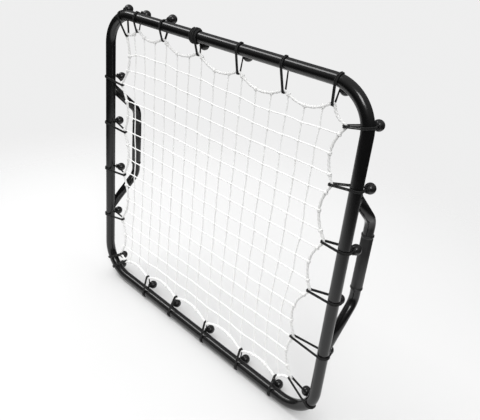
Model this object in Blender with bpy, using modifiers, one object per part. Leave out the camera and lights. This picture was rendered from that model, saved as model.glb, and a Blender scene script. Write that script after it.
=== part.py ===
"""A square rebounder: a bent steel frame, a knotted net hung in it on elastic ball loops, two rear handles.

The frame stands in the XZ plane and +Y points to the rear, where the two handles are.
All shapes are laid out about the centre of the frame, and an empty carries them so that the
world's origin is midway between the two grips.
"""

import math

import bmesh
import bpy
from mathutils import Vector

# Driving dimensions, in metres
OUTER = 1.0  # the square frame over its tubes
TUBE_D = 0.0318
CORNER_R = 0.107  # centreline radius of the frame's bends
GAP = 0.0003  # between pieces that touch

HANDLE_D = 0.0286
HANDLE_DEPTH = 0.112  # frame centreline to grip centreline
HANDLE_FOOT = 0.234  # height of the leg's line at the frame centreline, above the middle
HANDLE_BEND = 0.126  # height of the bend's corner, above the middle
HANDLE_R = 0.050

GRIP_LENGTH = 0.168
GRIP_D = 0.0318
GRIP_LIP_D = 0.0338
GRIP_LIP = 0.004

BALL_D = 0.0285
CORD_D = 0.0040  # the two strands of a loop, taken as one round cord
TURNS_D = 0.0412
TURNS_WIDTH = 0.019

ROPE_D = 0.0060
NET_THICK = 0.003
NET_INSET = 0.0125  # net edge to rope centreline, room for a loop's end
LOOP_SEAT = 0.0038  # half the straight run of the rope inside a loop's end
BOW = 0.17  # inward bow of the net's edge between two loops, as a share of their distance

# Sizes that follow from them
HALF = (OUTER - TUBE_D) / 2  # middle to frame centreline
STRAIGHT = HALF - CORNER_R  # middle of a side to where the bend starts
TUBE_R = TUBE_D / 2
CORD_R = CORD_D / 2
WRAP_R = TUBE_R + CORD_R + 0.0007
HOOK_R = ROPE_D / 2 + CORD_R + 0.0007
BALL_CLEAR = BALL_D / 2 + CORD_R + 2 * GAP  # ball centre to a strand beside it

X, Y, Z = Vector((1, 0, 0)), Vector((0, 1, 0)), Vector((0, 0, 1))

# A side's outward direction, and the direction in which places along it grow
SIDES = {"top": (Z, X), "right": (X, Z), "bottom": (-Z, X), "left": (-X, Z)}

# The loops, clockwise from the top left corner. Each has its side, its place along the tube and
# its net end's place along the side, both from the middle of the side, how far the net end is
# from the tube's centreline, and its ball's place: degrees round the tube, from straight behind
# it towards the outside, and how far along the tube.
LOOPS = [
    ("top", -0.422, -0.397, 0.060, 38, 0.002),
    ("top", -0.342, -0.342, 0.037, 12, -0.004),
    ("top", -0.219, -0.219, 0.039, 30, 0.000),
    ("top", -0.069, -0.067, 0.046, -44, -0.006),
    ("top", 0.088, 0.088, 0.059, -34, 0.000),
    ("top", 0.236, 0.242, 0.067, -19, 0.003),
    ("top", 0.392, 0.386, 0.057, -42, 0.006),
    ("right", 0.400, 0.385, 0.056, 12, -0.002),
    ("right", 0.249, 0.234, 0.066, 32, 0.000),
    ("right", 0.083, 0.077, 0.059, 26, -0.004),
    ("right", -0.068, -0.080, 0.074, -2, -0.012),
    ("right", -0.245, -0.252, 0.100, -6, -0.007),
    ("right", -0.425, -0.394, 0.084, -48, -0.014),
    ("bottom", 0.343, 0.347, 0.054, 6, -0.002),
    ("bottom", 0.207, 0.208, 0.055, 8, -0.003),
    ("bottom", 0.050, 0.050, 0.059, -14, -0.007),
    ("bottom", -0.115, -0.101, 0.067, -24, -0.010),
    ("bottom", -0.255, -0.254, 0.063, -22, -0.006),
    ("bottom", -0.442, -0.390, 0.060, 30, 0.002),
    ("left", -0.442, -0.405, 0.068, -50, -0.010),
    ("left", -0.259, -0.250, 0.074, 0, -0.001),
    ("left", -0.072, -0.068, 0.080, -26, 0.000),
    ("left", 0.102, 0.094, 0.081, -2, 0.000),
    ("left", 0.265, 0.255, 0.063, -26, 0.000),
]
WOUND_LOOP = 3  # the loop with extra turns round the tube, beside its strands


def remove_all():
    for obj in list(bpy.data.objects):
        bpy.data.objects.remove(obj)


def new_collection(name):
    collection = bpy.data.collections.new(name)
    bpy.context.scene.collection.children.link(collection)
    return collection


def make_material(name, colour, roughness, metallic=0.0):
    material = bpy.data.materials.new(name)
    material.use_nodes = True
    shader = material.node_tree.nodes["Principled BSDF"]
    shader.inputs["Base Color"].default_value = (*colour, 1)
    shader.inputs["Roughness"].default_value = roughness
    shader.inputs["Metallic"].default_value = metallic
    return material


def add_object(name, data, material, parent, collection):
    obj = bpy.data.objects.new(name, data)
    if material:
        data.materials.append(material)
    obj.parent = parent
    collection.objects.link(obj)
    return obj


def tube_curve(name, points, diameter, resolution, closed=False):
    """A round tube along straight steps between points."""
    curve = bpy.data.curves.new(name, "CURVE")
    curve.dimensions = "3D"
    curve.bevel_depth = diameter / 2
    curve.bevel_resolution = resolution
    curve.use_fill_caps = not closed
    spline = curve.splines.new("POLY")
    spline.points.add(len(points) - 1)
    for place, point in zip(spline.points, points):
        place.co = (*point, 1)
    spline.use_cyclic_u = closed
    return curve


def curve_to_mesh(obj, collection):
    """Swaps a curve object for a closed mesh object of the same name and place."""
    evaluated = obj.evaluated_get(bpy.context.evaluated_depsgraph_get())
    mesh = bpy.data.meshes.new_from_object(evaluated)
    bm = bmesh.new()
    bm.from_mesh(mesh)
    bmesh.ops.remove_doubles(bm, verts=bm.verts, dist=0.00001)
    bm.to_mesh(mesh)
    bm.free()
    name, parent, place = obj.name, obj.parent, obj.matrix_basis.copy()
    bpy.data.objects.remove(obj)
    solid = bpy.data.objects.new(name, mesh)
    solid.parent = parent
    solid.matrix_basis = place
    collection.objects.link(solid)
    return solid


def rail(side, along):
    """Centreline point, outward direction and tangent of the frame, by distance along a side."""
    out, tangent = SIDES[side]
    if abs(along) <= STRAIGHT:
        return out * HALF + tangent * along, out, tangent
    sign = math.copysign(1, along)
    turn = (abs(along) - STRAIGHT) / CORNER_R
    outward = out * math.cos(turn) + tangent * (sign * math.sin(turn))
    centre = out * STRAIGHT + tangent * (sign * STRAIGHT)
    onward = tangent * math.cos(turn) - out * (sign * math.sin(turn))
    return centre + outward * CORNER_R, outward, onward


def loop_tip(loop):
    side, _, along, reach = loop[:4]
    out, tangent = SIDES[side]
    return out * (HALF - reach) + tangent * along


def frame_points(steps=8, between=11):
    """The rounded square, clockwise from the left end of the top."""
    points = []
    for side, sign in (("top", 1), ("right", -1), ("bottom", -1), ("left", 1)):
        for i in range(between + 1):
            along = sign * STRAIGHT * (2 * i / (between + 1) - 1)
            points.append(rail(side, along)[0])
        for i in range(steps):
            along = sign * (STRAIGHT + CORNER_R * math.radians(90) * i / steps)
            points.append(rail(side, along)[0])
    return points


def arc_corner(before, corner, after, radius, steps):
    """Points of a bend of the given radius that rounds a corner."""
    to_before, to_after = (before - corner).normalized(), (after - corner).normalized()
    half = to_before.angle(to_after) / 2
    middle = corner + (to_before + to_after).normalized() * (radius / math.sin(half))
    start = corner + to_before * (radius / math.tan(half)) - middle
    end = corner + to_after * (radius / math.tan(half)) - middle
    points = []
    for i in range(steps + 1):
        share = i / steps
        swing = start.angle(end)
        a = math.sin((1 - share) * swing) / math.sin(swing)
        b = math.sin(share * swing) / math.sin(swing)
        points.append(middle + start * a + end * b)
    return points


def handle_points(x):
    """Centreline of a rear handle, from its upper foot on the frame's centreline to its lower one."""
    upper_foot = Vector((x, 0, HANDLE_FOOT))
    upper = Vector((x, HANDLE_DEPTH, HANDLE_BEND))
    lower = Vector((x, HANDLE_DEPTH, -HANDLE_BEND))
    lower_foot = Vector((x, 0, -HANDLE_FOOT))
    points = [upper_foot]
    points += arc_corner(upper_foot, upper, lower, HANDLE_R, 6)
    points += arc_corner(upper, lower, lower_foot, HANDLE_R, 6)
    return points + [lower_foot]


def make_handle(name, x, material, parent, parts, cutters):
    """A bent tube whose two ends are coped to the frame's side tube."""
    curve = tube_curve(name, handle_points(x), HANDLE_D, 6)
    handle = curve_to_mesh(add_object(name, curve, None, parent, parts), parts)
    handle.data.materials.clear()
    handle.data.materials.append(material)
    handle.data.shade_smooth()
    handle.data.set_sharp_from_angle(angle=math.radians(40))

    mesh = bpy.data.meshes.new(name + "_cope")
    bm = bmesh.new()
    bmesh.ops.create_cone(
        bm, cap_ends=True, segments=48, radius1=TUBE_R + GAP, radius2=TUBE_R + GAP, depth=OUTER
    )
    bm.to_mesh(mesh)
    bm.free()
    cutter = add_object(name + "_cope", mesh, None, parent, cutters)
    cutter.location = (x, 0, 0)
    cutter.hide_render = True
    cutter.display_type = "WIRE"
    cut = handle.modifiers.new("cope", "BOOLEAN")
    cut.operation = "DIFFERENCE"
    cut.object = cutter
    return handle


def make_grip(name, x, material, parent, parts):
    """A sleeve on a handle's straight run, with a raised ring at each end."""
    bore, body, lip = HANDLE_D / 2 + GAP, GRIP_D / 2, GRIP_LIP_D / 2
    top, ring = GRIP_LENGTH / 2, GRIP_LENGTH / 2 - GRIP_LIP
    profile = [
        (body, top),
        (lip, top - GRIP_LIP / 4),
        (lip, ring + GRIP_LIP / 4),
        (body, ring),
        (body, -ring),
        (lip, -ring - GRIP_LIP / 4),
        (lip, -top + GRIP_LIP / 4),
        (body, -top),
        (bore, -top),
        (bore, top),
    ]
    mesh = bpy.data.meshes.new(name)
    edges = [(i, (i + 1) % len(profile)) for i in range(len(profile))]
    mesh.from_pydata([(r, 0, z) for r, z in profile], edges, [])
    grip = add_object(name, mesh, material, parent, parts)
    grip.location = (x, HANDLE_DEPTH, 0)
    spin = grip.modifiers.new("spin", "SCREW")
    spin.steps = 24
    spin.render_steps = 24
    spin.use_smooth_shade = True
    spin.merge_threshold = 0.00001
    return grip


def make_ring(name, loop, material, parent, parts):
    """The band that a loop's extra turns make round the tube, beside the loop's strands."""
    point, _, tangent = rail(loop[0], loop[1])
    bore, outer, half = TUBE_R + GAP, TURNS_D / 2, TURNS_WIDTH / 2
    profile = [
        (outer - 0.0015, half),
        (outer, half - 0.0015),
        (outer, -half + 0.0015),
        (outer - 0.0015, -half),
        (bore, -half),
        (bore, half),
    ]
    mesh = bpy.data.meshes.new(name)
    edges = [(i, (i + 1) % len(profile)) for i in range(len(profile))]
    mesh.from_pydata([(r, 0, z) for r, z in profile], edges, [])
    ring = add_object(name, mesh, material, parent, parts)
    ring.location = point - tangent * (half + CORD_R + 2 * GAP)
    ring.rotation_euler = (0, math.radians(90), 0)
    spin = ring.modifiers.new("spin", "SCREW")
    spin.steps = 24
    spin.render_steps = 24
    spin.use_smooth_shade = True
    spin.merge_threshold = 0.00001
    return ring


def loop_points(loop, wrap_steps=10, hook_steps=5):
    """An elastic loop: round the tube, straight to the net's edge, round the rope there and back."""
    point, outward, _ = rail(loop[0], loop[1])
    tip = loop_tip(loop)
    run = (tip - point).normalized()
    edge = math.acos((WRAP_R - HOOK_R) / (tip - point).length)
    points = []
    for i in range(wrap_steps + 1):
        turn = edge + (2 * math.pi - 2 * edge) * i / wrap_steps
        points.append(point + (Y * math.sin(turn) - outward * math.cos(turn)) * WRAP_R)
    for i in range(hook_steps + 1):
        turn = -edge + 2 * edge * i / hook_steps
        points.append(tip + (Y * math.sin(turn) + run * math.cos(turn)) * HOOK_R)
    return points


def ball_place(loop):
    """Middle of a loop's ball, as near to the tube as the tube and the loop's strands let it come."""
    point, outward, tangent = rail(loop[0], loop[1])
    turn, aside = math.radians(loop[4]), loop[5]
    strand = math.acos((WRAP_R - HOOK_R) / (loop_tip(loop) - point).length) - math.radians(90)
    beside = math.sqrt(max(0.0, BALL_CLEAR ** 2 - aside ** 2))
    past_strand = (WRAP_R + beside) / math.cos(max(0.0, strand - turn))
    away = max(TUBE_R + BALL_D / 2 + 0.001, past_strand)
    return point + (Y * math.cos(turn) + outward * math.sin(turn)) * away + tangent * aside


def edge_points(steps=4):
    """The border rope, square to each loop where it passes through it, bowed inward between loops."""
    starts, ends = [], []
    for loop in LOOPS:
        tip = loop_tip(loop)
        run = (tip - rail(loop[0], loop[1])[0]).normalized()
        along = Vector((-run.z, 0, run.x)) * LOOP_SEAT
        starts.append(tip + along)
        ends.append(tip - along)
    points = []
    for start, end in zip(starts, ends[1:] + ends[:1]):
        chord = end - start
        inward = Vector((chord.z, 0, -chord.x)).normalized()
        for i in range(steps + 1):
            share = i / steps
            bow = BOW * chord.length * 4 * share * (1 - share)
            points.append(start + chord * share + inward * bow)
    return points


def net_outline(steps=4):
    """The net's edge, inside the rope: one point inside each loop's end, the others beside the rope's."""
    rope = edge_points(steps)
    points = []
    for number, loop in enumerate(LOOPS):
        first = number * (steps + 1)
        tip = loop_tip(loop)
        onward = (rope[first + 1] - tip).normalized()
        back = (rope[first - 2] - tip).normalized()
        points.append(tip + (onward + back).normalized() * NET_INSET)
        for i in range(first + 1, first + steps):
            run = (rope[i + 1] - rope[i - 1]).normalized()
            points.append(rope[i] + Vector((run.z, 0, -run.x)) * NET_INSET)
    return points


def make_net(material, parent, parts):
    """The knotted field of the net, as one thin sheet with the net's outline."""
    outline = net_outline()
    count = len(outline)
    half = Y * (NET_THICK / 2)
    corners = [point - half for point in outline] + [point + half for point in outline]
    corners += [-half, half]
    front, back = 2 * count, 2 * count + 1
    faces = []
    for i in range(count):
        j = (i + 1) % count
        faces.append((front, j, i))
        faces.append((back, i + count, j + count))
        faces.append((i, j, j + count, i + count))
    mesh = bpy.data.meshes.new("net")
    mesh.from_pydata(corners, [], faces)
    add_object("net", mesh, material, parent, parts)


def make_ball(name, place, material, parent, parts):
    mesh = bpy.data.meshes.new(name)
    bm = bmesh.new()
    bmesh.ops.create_icosphere(bm, subdivisions=2, radius=BALL_D / 2)
    bm.to_mesh(mesh)
    bm.free()
    mesh.shade_smooth()
    ball = add_object(name, mesh, material, parent, parts)
    ball.location = place
    return ball


def build():
    remove_all()
    parts = new_collection("rebounder")
    cutters = new_collection("cutters")
    centre = bpy.data.objects.new("frame_centre", None)
    centre.location = (0, -HANDLE_DEPTH, 0)
    parts.objects.link(centre)

    paint = make_material("black_paint", (0.012, 0.012, 0.013), 0.28)
    rubber = make_material("grip_rubber", (0.016, 0.016, 0.017), 0.5)
    elastic = make_material("black_elastic", (0.014, 0.014, 0.015), 0.75)
    plastic = make_material("black_plastic", (0.02, 0.02, 0.021), 0.3)
    twine = make_material("white_twine", (0.85, 0.85, 0.84), 0.8)

    frame = tube_curve("frame_tube", frame_points(), TUBE_D, 6, closed=True)
    add_object("frame_tube", frame, paint, centre, parts)
    for name, x in (("left", -HALF), ("right", HALF)):
        make_handle("handle_" + name, x, paint, centre, parts, cutters)
        make_grip("grip_" + name, x, rubber, centre, parts)

    make_net(twine, centre, parts)
    rope = tube_curve("net_border", edge_points(), ROPE_D, 1, closed=True)
    add_object("net_border", rope, twine, centre, parts)

    for number, loop in enumerate(LOOPS, 1):
        cord_name, ball_name = f"bungee_cord_{number:02d}", f"bungee_ball_{number:02d}"
        cord = tube_curve(cord_name, loop_points(loop), CORD_D, 1, closed=True)
        add_object(cord_name, cord, elastic, centre, parts)
        make_ball(ball_name, ball_place(loop), plastic, centre, parts)
    make_ring("bungee_turns", LOOPS[WOUND_LOOP], elastic, centre, parts)


build()
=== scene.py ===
import math
from collections import namedtuple

import bmesh
import bpy
import numpy as np
from mathutils import Matrix, Vector


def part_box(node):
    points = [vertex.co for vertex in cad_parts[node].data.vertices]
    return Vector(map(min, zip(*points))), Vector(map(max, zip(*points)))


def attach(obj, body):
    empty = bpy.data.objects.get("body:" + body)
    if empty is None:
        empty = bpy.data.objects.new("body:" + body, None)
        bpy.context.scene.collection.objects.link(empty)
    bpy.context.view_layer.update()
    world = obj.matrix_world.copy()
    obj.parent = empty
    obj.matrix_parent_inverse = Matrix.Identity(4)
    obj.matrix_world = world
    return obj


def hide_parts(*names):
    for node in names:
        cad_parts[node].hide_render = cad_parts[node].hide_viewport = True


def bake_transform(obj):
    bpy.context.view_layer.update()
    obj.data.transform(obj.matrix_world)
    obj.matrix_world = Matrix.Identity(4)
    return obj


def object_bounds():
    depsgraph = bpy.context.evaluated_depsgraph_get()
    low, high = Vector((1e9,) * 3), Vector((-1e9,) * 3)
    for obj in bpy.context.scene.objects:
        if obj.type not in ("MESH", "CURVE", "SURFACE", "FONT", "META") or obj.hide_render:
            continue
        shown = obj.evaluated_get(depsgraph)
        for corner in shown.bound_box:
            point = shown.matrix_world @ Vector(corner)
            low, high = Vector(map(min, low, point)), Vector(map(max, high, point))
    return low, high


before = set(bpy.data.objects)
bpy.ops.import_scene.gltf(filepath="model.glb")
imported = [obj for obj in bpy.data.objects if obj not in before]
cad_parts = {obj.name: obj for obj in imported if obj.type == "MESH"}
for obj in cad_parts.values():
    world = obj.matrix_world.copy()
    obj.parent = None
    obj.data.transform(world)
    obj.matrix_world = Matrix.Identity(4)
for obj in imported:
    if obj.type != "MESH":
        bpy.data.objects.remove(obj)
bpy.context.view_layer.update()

# The camera stands to the front right of the frame, above it, looking down and a little rolled.
camera_data = bpy.data.cameras.new("camera")
camera_data.lens = 40.08
camera_data.sensor_width = 36
camera_data.shift_x = -0.0208
camera_data.shift_y = -0.125
camera_data.clip_end = 200
camera = bpy.data.objects.new("camera", camera_data)
bpy.context.scene.collection.objects.link(camera)
turn = (
    Matrix.Rotation(math.radians(39.87), 4, "Z")
    @ Matrix.Rotation(math.radians(67.23), 4, "X")
    @ Matrix.Rotation(math.radians(6.38), 4, "Z")
)
camera.matrix_world = Matrix.Translation((0.999, -1.122, 0.780)) @ turn
bpy.context.scene.camera = camera

X, Y, Z = Vector((1, 0, 0)), Vector((0, 1, 0)), Vector((0, 0, 1))

# Sizes of the frame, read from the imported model
low, high = (Vector(corner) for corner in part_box("frame_tube"))
CENTRE = (low + high) / 2
TUBE_R = (high.y - low.y) / 2
HALF = (high.x - low.x) / 2 - TUBE_R
CORNER_R = 0.107  # to the tube's middle
STRAIGHT = HALF - CORNER_R

HANDLE_R = 0.0143
HANDLE_DEPTH = 0.112  # from the frame's plane to the handle's straight run
HANDLE_FOOT = 0.234  # height of a leg's foot over the middle
HANDLE_BEND = 0.126  # height of the bend over the middle
HANDLE_BEND_R = 0.050
LEG_START = 0.006  # a leg's tube starts this far out from the middle of the frame's tube
BEAD_R = 0.0023
BEAD_RIPPLE = 0.0004
BEAD_PITCH = 0.0034
GRIP_LENGTH = 0.168
GRIP_R = 0.0159

BALL_R = 0.01425
NECK_LEAN = 28.4  # degrees between a ball's neck and the line to the tube's centre
CORD_EXIT = 0.0175  # how far from the ball's middle along its neck: the cord comes out,
NECK_WAIST = 0.0158  # the loop's end sits round the neck's waist,
CORD_ROOT = 0.0140  # and the cord starts inside the ball
WAIST_R = 0.0046
STRAND_R = 0.0018
STRAND_APART = 0.0039
WRAP_R = TUBE_R + STRAND_R + 0.0003  # a strand's middle, round the tube
ROPE_R = 0.0037
ROPE_LAY = 0.022
HOOK_R = ROPE_R + STRAND_R + 0.0003  # and round the rope
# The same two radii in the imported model's plain loops, and a ball's distance from their strands
CAD_WRAP_R = TUBE_R + 0.0027
CAD_HOOK_R = 0.0057
BALL_CLEAR = BALL_R + 0.0026

CELL = 0.0514
CELLS = 8  # from the middle of the net to its edge
TWINE_R = 0.0018
KNOT_R = 0.0024
BORDER_KNOT_R = 0.0040
BOW = 0.17  # depth of the border's bow between two loops, as a share of their distance
LOOP_SEAT = 0.0038  # half the straight piece of the border inside each loop

SIDES = {"top": (Z, X), "right": (X, Z), "bottom": (-Z, X), "left": (-X, Z)}

# Each loop has its place along the tube, the place along it of the net's end, that end's reach
# inward from the tube, and its ball's place: degrees round the tube from straight behind it
# towards the outside, and how far the ball is shifted along the tube.
Loop = namedtuple("Loop", "side along tip_along reach ball_turn ball_aside")
LOOPS = [Loop(*row) for row in [
    ("top", -0.422, -0.397, 0.060, 38, 0.002),
    ("top", -0.342, -0.342, 0.037, 12, -0.004),
    ("top", -0.219, -0.219, 0.039, 30, 0.000),
    ("top", -0.069, -0.067, 0.046, -44, -0.006),
    ("top", 0.088, 0.088, 0.059, -34, 0.000),
    ("top", 0.236, 0.242, 0.067, -19, 0.003),
    ("top", 0.392, 0.386, 0.057, -42, 0.006),
    ("right", 0.400, 0.385, 0.056, 12, -0.002),
    ("right", 0.249, 0.234, 0.066, 32, 0.000),
    ("right", 0.083, 0.077, 0.059, 26, -0.004),
    ("right", -0.068, -0.080, 0.074, -2, -0.012),
    ("right", -0.245, -0.252, 0.100, -6, -0.007),
    ("right", -0.425, -0.394, 0.084, -48, -0.014),
    ("bottom", 0.343, 0.347, 0.054, 6, -0.002),
    ("bottom", 0.207, 0.208, 0.055, 8, -0.003),
    ("bottom", 0.050, 0.050, 0.059, -14, -0.007),
    ("bottom", -0.115, -0.101, 0.067, -24, -0.010),
    ("bottom", -0.255, -0.254, 0.063, -22, -0.006),
    ("bottom", -0.442, -0.390, 0.060, 30, 0.002),
    ("left", -0.442, -0.405, 0.068, -50, -0.010),
    ("left", -0.259, -0.250, 0.074, 0, -0.001),
    ("left", -0.072, -0.068, 0.080, -26, 0.000),
    ("left", 0.102, 0.094, 0.081, -2, 0.000),
    ("left", 0.265, 0.255, 0.063, -26, 0.000),
]]
WOUND_LOOP = 3  # counted from 0: the one with extra turns on the tube


# ---- materials ----

def new_material(name):
    material = bpy.data.materials.new(name)
    material.use_nodes = True
    nodes, links = material.node_tree.nodes, material.node_tree.links
    return material, nodes, links, nodes["Principled BSDF"]


def noise(nodes, links, vector, scale, detail=3.0):
    """A noise field of a given fineness, 0 to 1."""
    node = nodes.new("ShaderNodeTexNoise")
    node.inputs["Scale"].default_value = scale
    node.inputs["Detail"].default_value = detail
    links.new(vector, node.inputs["Vector"])
    return node.outputs["Fac"]


def ramp(nodes, links, value, stops):
    node = nodes.new("ShaderNodeValToRGB")
    links.new(value, node.inputs["Fac"])
    while len(node.color_ramp.elements) < len(stops):
        node.color_ramp.elements.new(0.5)
    for element, (place, colour) in zip(node.color_ramp.elements, stops):
        element.position = place
        element.color = (*colour, 1)
    return node.outputs["Color"]


def spread(nodes, links, value, low_value, high_value):
    """Spreads a value of 0 to 1 between two others."""
    node = nodes.new("ShaderNodeMapRange")
    links.new(value, node.inputs["Value"])
    node.inputs["To Min"].default_value = low_value
    node.inputs["To Max"].default_value = high_value
    return node.outputs["Result"]


def bump(nodes, links, shader, height, strength, distance):
    node = nodes.new("ShaderNodeBump")
    node.inputs["Strength"].default_value = strength
    node.inputs["Distance"].default_value = distance
    links.new(height, node.inputs["Height"])
    links.new(node.outputs["Normal"], shader.inputs["Normal"])


def grey(value):
    return (value, value, value * 1.02)


def paint_material():
    """Gloss black powder coat: a fine orange peel, faint clouding and a few dull rubbed places."""
    material, nodes, links, shader = new_material("powder_coat")
    place = nodes.new("ShaderNodeTexCoord").outputs["Object"]
    cloud = noise(nodes, links, place, 9.0)
    rubbed = noise(nodes, links, place, 60.0, 6.0)
    colour = ramp(nodes, links, cloud, [(0.3, grey(0.003)), (0.75, grey(0.006))])
    links.new(colour, shader.inputs["Base Color"])
    links.new(spread(nodes, links, rubbed, 0.14, 0.26), shader.inputs["Roughness"])
    shader.inputs["Specular IOR Level"].default_value = 0.4
    shader.inputs["Coat Weight"].default_value = 0.2
    shader.inputs["Coat Roughness"].default_value = 0.15
    bump(nodes, links, shader, noise(nodes, links, place, 700.0, 2.0), 0.03, 0.0003)
    return material


def rubber_material():
    """Satin rubber sleeve with a fine grain."""
    material, nodes, links, shader = new_material("grip_rubber")
    place = nodes.new("ShaderNodeTexCoord").outputs["Object"]
    dust = noise(nodes, links, place, 35.0, 5.0)
    colour = ramp(nodes, links, dust, [(0.3, grey(0.008)), (0.8, grey(0.02))])
    links.new(colour, shader.inputs["Base Color"])
    links.new(spread(nodes, links, dust, 0.38, 0.6), shader.inputs["Roughness"])
    bump(nodes, links, shader, noise(nodes, links, place, 1600.0, 2.0), 0.3, 0.0003)
    return material


def plastic_material():
    """Moulded gloss black plastic with soft scuffs."""
    material, nodes, links, shader = new_material("moulded_plastic")
    place = nodes.new("ShaderNodeTexCoord").outputs["Object"]
    scuff = noise(nodes, links, place, 140.0, 6.0)
    colour = ramp(nodes, links, scuff, [(0.35, grey(0.005)), (0.8, grey(0.014))])
    links.new(colour, shader.inputs["Base Color"])
    links.new(spread(nodes, links, scuff, 0.16, 0.36), shader.inputs["Roughness"])
    bump(nodes, links, shader, noise(nodes, links, place, 500.0, 2.0), 0.06, 0.0003)
    return material


def lay(nodes, links, across, along):
    """Height of the yarns laid round a cord, from the cord's own lengthwise coordinates."""
    coordinates = nodes.new("ShaderNodeTexCoord").outputs["UV"]
    parts = nodes.new("ShaderNodeSeparateXYZ")
    links.new(coordinates, parts.inputs["Vector"])
    turns = nodes.new("ShaderNodeMath")
    turns.operation = "MULTIPLY"
    turns.inputs[1].default_value = across * 2 * math.pi
    links.new(parts.outputs["X"], turns.inputs[0])
    run = nodes.new("ShaderNodeMath")
    run.operation = "MULTIPLY_ADD"
    run.inputs[1].default_value = along * 2 * math.pi
    links.new(parts.outputs["Y"], run.inputs[0])
    links.new(turns.outputs["Value"], run.inputs[2])
    wave = nodes.new("ShaderNodeMath")
    wave.operation = "SINE"
    links.new(run.outputs["Value"], wave.inputs[0])
    return wave.outputs["Value"]


def braid(nodes, links, across, along):
    """Height of a braid: yarns laid both ways, each over and under the other."""
    node = nodes.new("ShaderNodeMath")
    node.operation = "MULTIPLY"
    links.new(lay(nodes, links, across, along), node.inputs[0])
    links.new(lay(nodes, links, -across, along), node.inputs[1])
    return node.outputs["Value"]


def elastic_material():
    """Black braided sheath of an elastic cord, its colour darker in the braid's hollows as painted
    shade.
    """
    material, nodes, links, shader = new_material("elastic_sheath")
    height = braid(nodes, links, 4, 420)
    height_for_painted_shade = spread(nodes, links, height, 0.0, 1.0)
    height_for_painted_shade.node.inputs["From Min"].default_value = -1
    # painted shade: the colour follows the braid's height, darker in its hollows and lighter on the
    # raised yarns
    colour = ramp(nodes, links, height_for_painted_shade, [(0.2, grey(0.003)), (0.9, grey(0.011))])
    links.new(colour, shader.inputs["Base Color"])
    shader.inputs["Roughness"].default_value = 0.62
    shader.inputs["Specular IOR Level"].default_value = 0.3
    shader.inputs["Sheen Weight"].default_value = 0.04
    bump(nodes, links, shader, height, 0.6, 0.0004)
    return material


def twine_material(name, across, along, bright):
    """White twisted twine: bright yarns, with painted shade greyer in the lay between them, and greyer
    where dust has settled.
    """
    material, nodes, links, shader = new_material(name)
    place = nodes.new("ShaderNodeTexCoord").outputs["Object"]
    height = lay(nodes, links, across, along)
    height_for_painted_shade = spread(nodes, links, height, 0.0, 1.0)
    height_for_painted_shade.node.inputs["From Min"].default_value = -1
    mix = nodes.new("ShaderNodeMix")
    mix.data_type = "RGBA"
    mix.blend_type = "MULTIPLY"
    mix.inputs["Factor"].default_value = 1.0
    yarn = (bright, bright, bright * 0.995)
    # painted shade: the lay between the yarns is coloured greyer, following the lay's height
    between = tuple(0.86 * value for value in yarn)
    links.new(ramp(nodes, links, height_for_painted_shade, [(0.0, between), (0.4, yarn)]), mix.inputs["A"])
    dust = noise(nodes, links, place, 14.0, 4.0)
    links.new(ramp(nodes, links, dust, [(0.3, (0.95, 0.95, 0.94)), (0.7, (1, 1, 1))]), mix.inputs["B"])
    links.new(mix.outputs["Result"], shader.inputs["Base Color"])
    shader.inputs["Roughness"].default_value = 0.8
    shader.inputs["Sheen Weight"].default_value = 0.2
    bump(nodes, links, shader, height, 0.5, 0.0005)
    return material


PAINT = paint_material()
RUBBER = rubber_material()
PLASTIC = plastic_material()
ELASTIC = elastic_material()
TWINE = twine_material("net_twine", 3, 260, 0.93)
ROPE = twine_material("border_rope", 2, 90, 0.80)


# ---- shapes ----

def make_object(name, bm, material):
    """Turns a bmesh into a shaded piece with its material slot named."""
    mesh = bpy.data.meshes.new(name)
    bm.to_mesh(mesh)
    bm.free()
    mesh.shade_smooth()
    mesh.materials.append(material)
    obj = bpy.data.objects.new(name, mesh)
    bpy.context.scene.collection.objects.link(obj)
    return obj


def sweep(bm, points, radius, sides, closed=False):
    """Adds a round tube along points. radius is a number, or a function of angle and length."""
    uv = bm.loops.layers.uv.verify()
    count = len(points)
    spans = count if closed else count - 1
    runs = []
    for i in range(count):
        before = points[i - 1] if closed or i else points[i]
        after = points[(i + 1) % count] if closed or i < count - 1 else points[i]
        runs.append((after - before).normalized())
    side = runs[0].orthogonal().normalized()
    sides_by_ring = [side]
    for run in runs[1:]:
        side = (side - run * side.dot(run)).normalized()
        sides_by_ring.append(side)
    twist = 0.0
    if closed:
        last = sides_by_ring[-1]
        last = (last - runs[0] * last.dot(runs[0])).normalized()
        twist = math.atan2(last.cross(sides_by_ring[0]).dot(runs[0]), last.dot(sides_by_ring[0]))
    lengths = [0.0]
    for i in range(spans):
        lengths.append(lengths[-1] + (points[(i + 1) % count] - points[i]).length)
    rings = []
    for i in range(count):
        up = runs[i].cross(sides_by_ring[i])
        ring = []
        for j in range(sides):
            angle = 2 * math.pi * j / sides
            turned = angle + twist * i / count
            r = radius(angle, lengths[i]) if callable(radius) else radius
            spoke = sides_by_ring[i] * math.cos(turned) + up * math.sin(turned)
            ring.append(bm.verts.new(points[i] + spoke * r))
        rings.append(ring)
    for i in range(spans):
        this, following = rings[i], rings[(i + 1) % count]
        for j in range(sides):
            k = (j + 1) % sides
            face = bm.faces.new((this[j], this[k], following[k], following[j]))
            corners = ((j, i), (j + 1, i), (j + 1, i + 1), (j, i + 1))
            for loop, (around, on) in zip(face.loops, corners):
                loop[uv].uv = (around / sides, lengths[on])
    if not closed:
        bm.faces.new(list(reversed(rings[0])))
        bm.faces.new(rings[-1])


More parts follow.
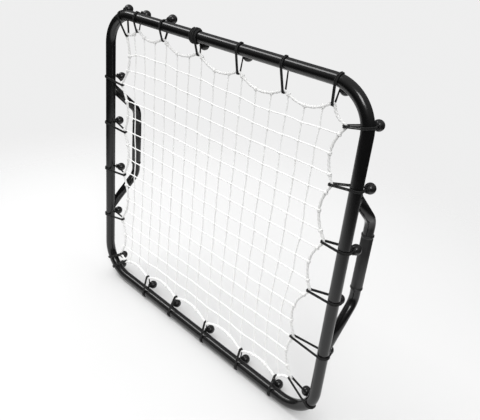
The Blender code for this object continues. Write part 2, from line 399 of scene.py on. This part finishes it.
def revolve(bm, profile, steps, place):
    """Adds a turned form. profile is (radius, height) from one pole or rim to the other."""
    uv = bm.loops.layers.uv.verify()
    rings = []
    for r, h in profile:
        if r < 1e-6:
            rings.append([bm.verts.new(place @ Vector((0, 0, h)))] * steps)
            continue
        ring = []
        for j in range(steps):
            angle = 2 * math.pi * j / steps
            ring.append(bm.verts.new(place @ Vector((r * math.cos(angle), r * math.sin(angle), h))))
        rings.append(ring)
    for i in range(len(rings) - 1):
        for j in range(steps):
            k = (j + 1) % steps
            corners = []
            for vert in (rings[i][j], rings[i][k], rings[i + 1][k], rings[i + 1][j]):
                if vert not in corners:
                    corners.append(vert)
            face = bm.faces.new(corners)
            for loop in face.loops:
                loop[uv].uv = (j / steps, profile[i][1])


def smooth_path(points, steps):
    """Points on a smooth curve through the given ones."""
    out = []
    for i in range(len(points) - 1):
        a = points[max(i - 1, 0)]
        b, c = points[i], points[i + 1]
        d = points[min(i + 2, len(points) - 1)]
        for s in range(steps):
            t = s / steps
            square = (2 * a - 5 * b + 4 * c - d) * t * t
            cube = (3 * b - a - 3 * c + d) * t ** 3
            out.append(0.5 * (2 * b + (c - a) * t + square + cube))
    out.append(points[-1].copy())
    return out


def rail(side, along):
    """The frame's centreline point, outward direction and tangent, by place along a side."""
    out, tangent = SIDES[side]
    if abs(along) <= STRAIGHT:
        return CENTRE + out * HALF + tangent * along, out, tangent
    sign = math.copysign(1, along)
    bend = (abs(along) - STRAIGHT) / CORNER_R
    outward = out * math.cos(bend) + tangent * (sign * math.sin(bend))
    middle = CENTRE + out * STRAIGHT + tangent * (sign * STRAIGHT)
    onward = tangent * math.cos(bend) - out * (sign * math.sin(bend))
    return middle + outward * CORNER_R, outward, onward


def loop_tip(loop):
    """The net's end, where a loop holds the border rope."""
    out, tangent = SIDES[loop.side]
    return CENTRE + out * (HALF - loop.reach) + tangent * loop.tip_along


# ---- frame and handles ----

def frame_points(steps=28):
    """The frame's centreline, clockwise from the top left as seen from the front."""
    points = []
    for side, sign in (("top", 1), ("right", -1), ("bottom", -1), ("left", 1)):
        for i in range(12):
            points.append(rail(side, sign * STRAIGHT * (2 * i / 12 - 1))[0])
        for i in range(steps):
            points.append(rail(side, sign * (STRAIGHT + CORNER_R * math.radians(90) * i / steps))[0])
    return points


bm = bmesh.new()
sweep(bm, frame_points(), TUBE_R, 48, closed=True)
bmesh.ops.recalc_face_normals(bm, faces=bm.faces)
frame_skin = make_object("frame_tube_coat", bm, PAINT)
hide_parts("frame_tube")
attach(frame_skin, "frame")


def arc_corner(before, corner, after, radius, steps):
    """An arc that rounds off a corner of a centreline."""
    to_before, to_after = (before - corner).normalized(), (after - corner).normalized()
    half = to_before.angle(to_after) / 2
    middle = corner + (to_before + to_after).normalized() * (radius / math.sin(half))
    start = corner + to_before * (radius / math.tan(half)) - middle
    end = corner + to_after * (radius / math.tan(half)) - middle
    swing = start.angle(end)
    points = []
    for i in range(steps + 1):
        share = i / steps
        a = math.sin((1 - share) * swing) / math.sin(swing)
        b = math.sin(share * swing) / math.sin(swing)
        points.append(middle + start * a + end * b)
    return points


def handle_points(x):
    """A handle's centreline, from its upper foot to its lower one."""
    upper_foot = CENTRE + Vector((x, 0, HANDLE_FOOT))
    upper = CENTRE + Vector((x, HANDLE_DEPTH, HANDLE_BEND))
    lower = CENTRE + Vector((x, HANDLE_DEPTH, -HANDLE_BEND))
    lower_foot = CENTRE + Vector((x, 0, -HANDLE_FOOT))
    leg = (upper - upper_foot).normalized() * LEG_START
    points = [upper_foot + leg]
    points += arc_corner(upper_foot, upper, lower, HANDLE_BEND_R, 18)
    points += arc_corner(upper, lower, lower_foot, HANDLE_BEND_R, 18)
    leg.z = -leg.z
    return points + [lower_foot + leg]


def weld_points(x, sign, steps=96):
    """Where the surface of a handle's leg meets the surface of the frame's tube."""
    foot = CENTRE + Vector((x, 0, sign * HANDLE_FOOT))
    bend = CENTRE + Vector((x, HANDLE_DEPTH, sign * HANDLE_BEND))
    leg = (bend - foot).normalized()
    across = leg.cross(X)
    points = []
    for i in range(steps):
        angle = 2 * math.pi * i / steps
        start = X * (HANDLE_R * math.cos(angle)) + across * (HANDLE_R * math.sin(angle))
        depth = math.sqrt(TUBE_R ** 2 - start.x ** 2)
        points.append(foot + start + leg * ((depth - start.y) / leg.y))
    return points


def bead(angle, length):
    """Radius of a weld bead, rippled along its length."""
    return BEAD_R + BEAD_RIPPLE * math.sin(length * 2 * math.pi / BEAD_PITCH)


for hand, x in (("left", -HALF), ("right", HALF)):
    bm = bmesh.new()
    sweep(bm, handle_points(x), HANDLE_R, 40)
    for sign in (1, -1):
        sweep(bm, weld_points(x, sign), bead, 10, closed=True)
    bmesh.ops.recalc_face_normals(bm, faces=bm.faces)
    handle = make_object(f"handle_{hand}_tube_and_welds", bm, PAINT)
    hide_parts(f"handle_{hand}")
    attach(handle, "frame")

    top, bore, lip = GRIP_LENGTH / 2, HANDLE_R + 0.0001, GRIP_R + 0.0010
    groove = GRIP_R - 0.0004
    rounded = [(bore, top), (lip - 0.0006, top), (lip, top - 0.0007), (lip, top - 0.0033)]
    rounded += [(lip - 0.0004, top - 0.0040), (GRIP_R, top - 0.0043), (GRIP_R, top - 0.0072)]
    rounded += [(groove, top - 0.0078), (groove, top - 0.0088), (GRIP_R, top - 0.0094)]
    profile = rounded + [(GRIP_R, 0)] + [(r, -h) for r, h in reversed(rounded)]
    bm = bmesh.new()
    revolve(bm, profile, 64, Matrix.Translation(CENTRE + Vector((x, HANDLE_DEPTH, 0))))
    bmesh.ops.recalc_face_normals(bm, faces=bm.faces)
    grip = make_object(f"grip_{hand}_sleeve", bm, RUBBER)
    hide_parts(f"grip_{hand}")
    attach(grip, "frame")


# ---- net ----

def edge_points(steps):
    """The border rope, square to each loop where it passes through it, bowed inward between loops."""
    starts, ends = [], []
    for loop in LOOPS:
        tip = loop_tip(loop)
        run = (tip - rail(loop.side, loop.along)[0]).normalized()
        along = Vector((-run.z, 0, run.x)) * LOOP_SEAT
        starts.append(tip + along)
        ends.append(tip - along)
    points = []
    for start, end in zip(starts, ends[1:] + ends[:1]):
        chord = end - start
        inward = Vector((chord.z, 0, -chord.x)).normalized()
        for i in range(steps + 1):
            share = i / steps
            bow = BOW * chord.length * 4 * share * (1 - share)
            points.append(start + chord * share + inward * bow)
    return points


edge = [point - CENTRE for point in edge_points(40)]


def edge_node(side, place):
    """The point of the border that a line of the net ends on."""
    out, tangent = SIDES[side]
    near = [point for point in edge if point.dot(out) > 0.33]
    return min(near, key=lambda point: abs(point.dot(tangent) - place))


def net_nodes():
    """Places of the net's knots, by column and row. Those on the border pull the others."""
    size = 2 * CELLS + 1
    plain = np.zeros((size, size, 2))
    for i in range(size):
        for j in range(size):
            plain[i, j] = ((i - CELLS) * CELL, (j - CELLS) * CELL)
    shift = np.zeros_like(plain)
    fixed = np.zeros((size, size), bool)
    for k in range(size):
        ends = (("top", k, size - 1), ("bottom", k, 0), ("right", size - 1, k), ("left", 0, k))
        for side, i, j in ends:
            point = edge_node(side, (k - CELLS) * CELL)
            moved = np.array((point.x, point.z)) - plain[i, j]
            if fixed[i, j]:
                moved = (shift[i, j] + moved) / 2
            shift[i, j] = moved
            fixed[i, j] = True
    inner = ~fixed
    for _ in range(600):
        mean = np.zeros_like(shift)
        mean[1:-1, 1:-1] = (shift[2:, 1:-1] + shift[:-2, 1:-1] + shift[1:-1, 2:] + shift[1:-1, :-2]) / 4
        shift[inner] = 0.985 * mean[inner]
    chance = np.random.RandomState(7)
    uneven = chance.uniform(-0.0012, 0.0012, shift.shape)
    uneven[fixed] = 0
    places = plain + shift + uneven
    return [[CENTRE + Vector((*places[i, j], 0)).xzy for j in range(size)] for i in range(size)]


nodes_of_net = net_nodes()
chance = np.random.RandomState(11)


def strand_points(ends):
    """A strand through its knots, a little uneven between them."""
    points = [ends[0]]
    for a, b in zip(ends, ends[1:]):
        run = (b - a).normalized()
        slack = run.cross(Y) * chance.uniform(-0.0009, 0.0009) + Y * chance.uniform(-0.0006, 0.0006)
        points.append(a.lerp(b, 0.35) + slack)
        points.append(a.lerp(b, 0.65) + slack)
        points.append(b)
    return smooth_path(points, 2)


def add_knot(bm, place, size):
    """A sheet bend in short: two turns of twine drawn tight about each other."""
    for tilt in (0.8, -0.8):
        points = []
        for i in range(10):
            angle = 2 * math.pi * i / 10
            turn = X * (math.cos(angle) * math.cos(tilt)) + Z * (math.cos(angle) * math.sin(tilt))
            points.append(place + (turn + Y * (math.sin(angle) * 0.95)) * size)
        sweep(bm, points, size * 0.72, 6, closed=True)


bm = bmesh.new()
last = 2 * CELLS
for line in range(1, last):
    sweep(bm, strand_points([nodes_of_net[line][row] for row in range(last + 1)]), TWINE_R, 8)
    sweep(bm, strand_points([nodes_of_net[column][line] for column in range(last + 1)]), TWINE_R, 8)
for column in range(1, last):
    for row in range(1, last):
        add_knot(bm, nodes_of_net[column][row], KNOT_R)
bmesh.ops.recalc_face_normals(bm, faces=bm.faces)
net = make_object("net_mesh_knotted", bm, TWINE)
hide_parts("net")
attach(net, "net")


def laid_rope(angle, length):
    """Radius of a rope of two strands laid round each other."""
    return ROPE_R * (0.94 + 0.14 * math.cos(2 * (angle - length * 2 * math.pi / ROPE_LAY)))


bm = bmesh.new()
sweep(bm, edge_points(20), laid_rope, 16, closed=True)
for k in range(1, last):
    for column, row in ((k, 0), (k, last), (0, k), (last, k)):
        add_knot(bm, nodes_of_net[column][row], BORDER_KNOT_R)
bmesh.ops.recalc_face_normals(bm, faces=bm.faces)
rope = make_object("net_border_rope", bm, ROPE)
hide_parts("net_border")
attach(rope, "net")


# ---- elastic loops and balls ----

def ball_axis(loop):
    """Middle of a loop's ball and the direction in which its neck points, to the loop's strands."""
    point, outward, tangent = rail(loop.side, loop.along)
    turn, aside = math.radians(loop.ball_turn), loop.ball_aside
    strand = math.acos((CAD_WRAP_R - CAD_HOOK_R) / (loop_tip(loop) - point).length) - math.radians(90)
    beside = math.sqrt(max(0.0, BALL_CLEAR ** 2 - aside ** 2))
    past_strand = (CAD_WRAP_R + beside) / math.cos(max(0.0, strand - turn))
    away = max(TUBE_R + BALL_R + 0.001, past_strand)
    ball = point + (Y * math.cos(turn) + outward * math.sin(turn)) * away + tangent * aside
    lean = turn + math.radians(180 - NECK_LEAN)
    neck = Y * math.cos(lean) + outward * math.sin(lean)
    if loop.side in ("top", "bottom") and loop.ball_turn < 25:
        neck = neck * 0.6 - tangent * 0.8
    return ball, neck.normalized()


def ball_profile():
    """Ball with a waisted neck where the cord goes in and a small moulding dimple at the far pole."""
    profile = [(0.0, -BALL_R + 0.0016), (0.0018, -BALL_R + 0.0013), (0.0030, -BALL_R + 0.0005)]
    for i in range(18):
        angle = math.radians(-73 + 7.8 * i)
        profile.append((BALL_R * math.cos(angle), BALL_R * math.sin(angle)))
    profile += [(0.0056, 0.0136), (0.0048, 0.0144), (0.0045, 0.0154), (0.0048, 0.0166)]
    profile += [(0.0054, 0.0175), (0.0053, 0.0182), (0.0044, 0.0186), (0.0032, 0.0182)]
    profile += [(0.0030, 0.0158), (0.0, 0.0152)]
    return profile


def facing(direction):
    """Rotation that turns +Z to a direction."""
    return direction.to_track_quat("Z", "Y").to_matrix().to_4x4()


def loop_path(loop):
    """One cord doubled: out of the ball, round the tube and the rope, round the neck and back home."""
    point, outward, tangent = rail(loop.side, loop.along)
    tip = loop_tip(loop)
    run = (tip - point).normalized()
    ball, neck = ball_axis(loop)
    leave = math.acos((WRAP_R - HOOK_R) / (tip - point).length)

    def round_tube(angle, drift=0.0):
        return point + (Y * math.cos(angle) + outward * math.sin(angle)) * WRAP_R + tangent * drift

    exit_at = ball + neck * CORD_EXIT
    seat = exit_at - point
    rear, out, aside = seat.dot(Y), seat.dot(outward), seat.dot(tangent)
    first = math.atan2(out, rear) + math.acos(min(1, WRAP_R / math.hypot(rear, out)))
    final = math.radians(270) - leave
    middle = [exit_at, exit_at + neck * 0.002]
    steps = max(3, int((final - first) / 0.3))
    for i in range(steps + 1):
        share = i / steps
        drift = aside * max(0.0, 1 - 2.5 * share) * 0.7
        middle.append(round_tube(first + (final - first) * share, drift))
    for i in range(5):
        angle = -leave + 2 * leave * i / 4
        middle.append(tip + (Y * math.sin(angle) + run * math.cos(angle)) * HOOK_R)

    hook = ball + neck * NECK_WAIST
    seat = hook - point
    rear, out = seat.dot(Y), seat.dot(outward)
    meets = leave - math.radians(90)
    parts = math.atan2(out, rear) - math.acos(min(1, WRAP_R / math.hypot(rear, out)))
    if parts > meets:
        for i in range(3):
            middle.append(round_tube(meets + (parts - meets) * i / 2, aside * i / 4))
    if (hook - middle[-1]).length > 0.03:
        middle.append(middle[-1].lerp(hook, 0.75))
    towards = (hook - middle[-1]).normalized()
    sideways = neck.cross(towards).normalized()
    if sideways.dot(tangent) < 0:
        sideways = -sideways

    count = len(middle)
    there, back = [], []
    for i, place in enumerate(middle):
        share = i / (count - 1)
        gap = 0.0012 if i == 0 else STRAND_APART / 2
        across = tangent
        if i < 2:
            across = (tangent - neck * tangent.dot(neck) + outward * 0.01).normalized()
        if share > 5 / 6:
            across = tangent.lerp(sideways, share * 6 - 5).normalized()
        there.append(place + across * gap)
        back.append(place - across * gap)
    around = []
    clear = WAIST_R + STRAND_R
    forward = sideways.cross(neck).normalized()
    if forward.dot(towards) < 0:
        forward = -forward
    for i in range(7):
        angle = math.pi * i / 6
        around.append(hook + (sideways * math.cos(angle) + forward * math.sin(angle)) * clear)
    start = ball + neck * CORD_ROOT
    return [start] + there + around + list(reversed(back)) + [start - neck * 0.0004]


for number, loop in enumerate(LOOPS, 1):
    ball, neck = ball_axis(loop)
    bm = bmesh.new()
    revolve(bm, ball_profile(), 32, Matrix.Translation(ball) @ facing(neck))
    bmesh.ops.recalc_face_normals(bm, faces=bm.faces)
    knob = make_object(f"bungee_ball_{number:02d}_moulded", bm, PLASTIC)
    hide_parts(f"bungee_ball_{number:02d}")
    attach(knob, "frame")

    bm = bmesh.new()
    sweep(bm, smooth_path(loop_path(loop), 4), STRAND_R, 8)
    bmesh.ops.recalc_face_normals(bm, faces=bm.faces)
    cord = make_object(f"bungee_cord_{number:02d}_doubled", bm, ELASTIC)
    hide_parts(f"bungee_cord_{number:02d}")
    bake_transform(cord)


TURNS = 7
TURNS_BELOW = 4.4  # in the layer on the tube, before the cord climbs over itself
FIRST_TURN = 0.0206  # its distance along the tube from the loop


def turns_points():
    """A cord wound round the top tube, away from the loop and back over itself in slanting turns."""
    wound = LOOPS[WOUND_LOOP]
    point, outward, tangent = rail(wound.side, wound.along)
    layer = TUBE_R + STRAND_R + 0.0006
    points = []
    for i in range(TURNS * 24 + 1):
        turn = i / 24
        angle = 2 * math.pi * turn
        climb = min(1.0, max(0.0, (turn - TURNS_BELOW + 0.2) / 0.4))
        if turn <= TURNS_BELOW:
            aside = FIRST_TURN - 0.0036 * turn
        else:
            back = turn - TURNS_BELOW
            aside = FIRST_TURN - 0.0036 * TURNS_BELOW + 0.0060 * back + 0.0014 * math.sin(angle)
        spoke = outward * math.cos(angle) + Y * math.sin(angle)
        points.append(point - tangent * aside + spoke * (layer + 0.0032 * climb))
    return points


bm = bmesh.new()
sweep(bm, turns_points(), STRAND_R + 0.0002, 8)
bmesh.ops.recalc_face_normals(bm, faces=bm.faces)
turns = make_object("bungee_turns_wound", bm, ELASTIC)
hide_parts("bungee_turns")
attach(turns, "frame")


# ---- stage and light ----

FLOOR_RADIUS = 6.0
FLOOR_FADE = (0.8, 2.0)  # the floor gives way to the studio's own white between these distances
STUDIO_WHITE = 0.86
SKY_LIGHT = (0.20, 1.69)  # strength at the horizon and below it, and at the zenith
SKY_GLOSS = (0.02, 0.5)  # the same as the gloss reflects it


def pale_floor():
    """Matt pale floor that fades out with distance from the object."""
    material, nodes, links, shader = new_material("pale_floor")
    place = nodes.new("ShaderNodeTexCoord").outputs["Object"]
    links.new(
        ramp(nodes, links, noise(nodes, links, place, 2.0), [(0, (0.575,) * 3), (1, (0.585,) * 3)]),
        shader.inputs["Base Color"],
    )
    shader.inputs["Roughness"].default_value = 1.0
    shader.inputs["Specular IOR Level"].default_value = 0.0
    distance = nodes.new("ShaderNodeVectorMath")
    distance.operation = "LENGTH"
    links.new(place, distance.inputs[0])
    fade = spread(nodes, links, distance.outputs["Value"], 1.0, 0.0)
    fade.node.inputs["From Min"].default_value, fade.node.inputs["From Max"].default_value = FLOOR_FADE
    fade.node.interpolation_type = "SMOOTHSTEP"
    links.new(fade, shader.inputs["Alpha"])
    return material


bm = bmesh.new()
bmesh.ops.create_circle(bm, cap_ends=True, segments=64, radius=FLOOR_RADIUS)
mesh = bpy.data.meshes.new("floor")
bm.to_mesh(mesh)
bm.free()
mesh.materials.append(pale_floor())
floor = bpy.data.objects.new("floor", mesh)
floor.location.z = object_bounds()[0][2] - 0.001
bpy.context.scene.collection.objects.link(floor)


def pick(nodes, links, switch, off, on):
    """One of two values, by a switch of 0 or 1."""
    node = nodes.new("ShaderNodeMix")
    links.new(switch, node.inputs["Factor"])
    for value, socket in ((off, node.inputs["A"]), (on, node.inputs["B"])):
        if isinstance(value, float):
            socket.default_value = value
        else:
            links.new(value, socket)
    return node.outputs["Result"]


def studio_world():
    """White studio seen directly, lit mostly from overhead, with dark surroundings in the gloss."""
    world = bpy.data.worlds.new("studio")
    world.use_nodes = True
    nodes, links = world.node_tree.nodes, world.node_tree.links
    background = nodes["Background"]
    background.inputs["Color"].default_value = (1, 1, 1, 1)
    direction = nodes.new("ShaderNodeTexCoord")
    parts = nodes.new("ShaderNodeSeparateXYZ")
    links.new(direction.outputs["Generated"], parts.inputs["Vector"])
    height = parts.outputs["Z"]
    light = spread(nodes, links, height, *SKY_LIGHT)
    gloss = spread(nodes, links, height, *SKY_GLOSS)
    rays = nodes.new("ShaderNodeLightPath").outputs
    unseen = pick(nodes, links, rays["Is Glossy Ray"], light, gloss)
    seen = pick(nodes, links, rays["Is Camera Ray"], unseen, STUDIO_WHITE)
    links.new(seen, background.inputs["Strength"])
    return world


def area_light(name, place, target, width, height, power):
    """A rectangular light at a place, facing a target."""
    data = bpy.data.lights.new(name, "AREA")
    data.shape = "RECTANGLE"
    data.size, data.size_y = width, height
    data.energy = power
    light = bpy.data.objects.new(name, data)
    light.matrix_world = Matrix.Translation(place) @ facing(Vector(place) - Vector(target))
    bpy.context.scene.collection.objects.link(light)


bpy.context.scene.world = studio_world()
bpy.context.scene.view_settings.view_transform = "Standard"
area_light("key_strip", (-4.0, -1.2, 4.0), (-4.0, -1.2, 0.0), 6.0, 1.4, 185)
area_light("side_box", (2.1, -2.1, 2.8), (0.0, -0.1, 0.1), 1.3, 1.3, 60)
